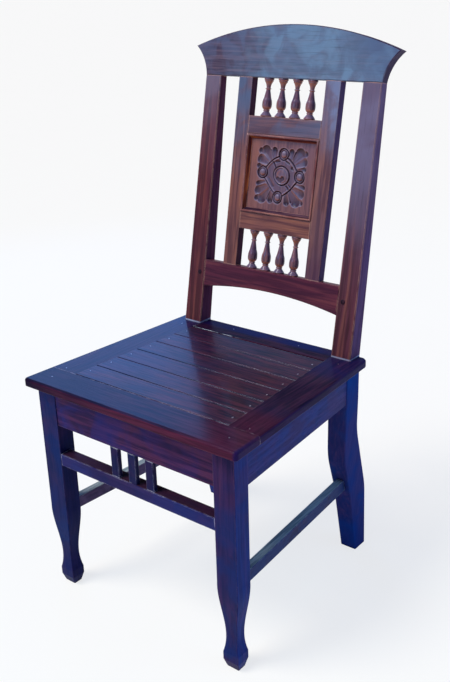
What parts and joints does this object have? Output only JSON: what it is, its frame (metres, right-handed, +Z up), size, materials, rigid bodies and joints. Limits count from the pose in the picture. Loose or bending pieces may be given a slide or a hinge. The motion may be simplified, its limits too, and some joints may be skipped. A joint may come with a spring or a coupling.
{
  "type": "dining chair",
  "caption": "High-backed wooden dining chair with a slatted seat, a raked back with a carved panel between rows of turned balusters, an arched crest rail, and stretchers.",
  "frame": {"origin": "on the floor, under the middle of the chair's outer box", "axes": "+Z up, the front of the chair faces -Y, and +X is to the right of someone who faces that front"},
  "size_m": [0.4792, 0.5182, 1.0031],
  "materials": {
    "frame_wood": "dark red-brown stain under gloss lacquer",
    "seat_wood": "dark red-brown stain under polished gloss lacquer",
    "carved_wood": "dark red-brown stain under satin lacquer",
    "inner_wood": "bare sawn wood",
    "peg_wood": "dark end grain under lacquer",
    "pin_metal": "plain steel, lacquered over",
    "screw_metal": "plain steel"
  },
  "bodies": {
    "root": {"front_leg_left": "frame_wood", "front_leg_right": "frame_wood", "back_post_left": "frame_wood", "back_post_right": "frame_wood", "side_apron_left": "frame_wood", "side_apron_right": "frame_wood", "side_stretcher_left": "frame_wood", "side_stretcher_right": "frame_wood", "back_stile_left": "frame_wood", "back_stile_right": "frame_wood", "front_apron": "frame_wood", "rear_apron": "frame_wood", "front_stretcher": "frame_wood", "front_bar_1": "frame_wood", "front_bar_2": "frame_wood", "front_bar_3": "frame_wood", "crest_rail": "frame_wood", "lower_back_rail": "frame_wood", "panel_top_rail": "frame_wood", "panel_bottom_rail": "frame_wood", "seat_front_board": "seat_wood", "seat_rear_board": "seat_wood", "seat_side_board_left": "seat_wood", "seat_side_board_right": "seat_wood", "seat_slat_1": "seat_wood", "seat_slat_2": "seat_wood", "seat_slat_3": "seat_wood", "seat_slat_4": "seat_wood", "seat_slat_5": "seat_wood", "seat_slat_6": "seat_wood", "carved_panel": "carved_wood", "panel_bead_top": "carved_wood", "panel_bead_bottom": "carved_wood", "panel_bead_left": "carved_wood", "panel_bead_right": "carved_wood", "upper_baluster_1": "carved_wood", "upper_baluster_2": "carved_wood", "upper_baluster_3": "carved_wood", "upper_baluster_4": "carved_wood", "lower_baluster_1": "carved_wood", "lower_baluster_2": "carved_wood", "lower_baluster_3": "carved_wood", "lower_baluster_4": "carved_wood", "corner_block_front_left": "inner_wood", "corner_block_front_right": "inner_wood", "corner_block_rear_left": "inner_wood", "corner_block_rear_right": "inner_wood", "rail_pegs": "peg_wood", "slat_pins": "pin_metal", "board_pins": "pin_metal", "corner_screws": "screw_metal"}
  },
  "joints": []
}
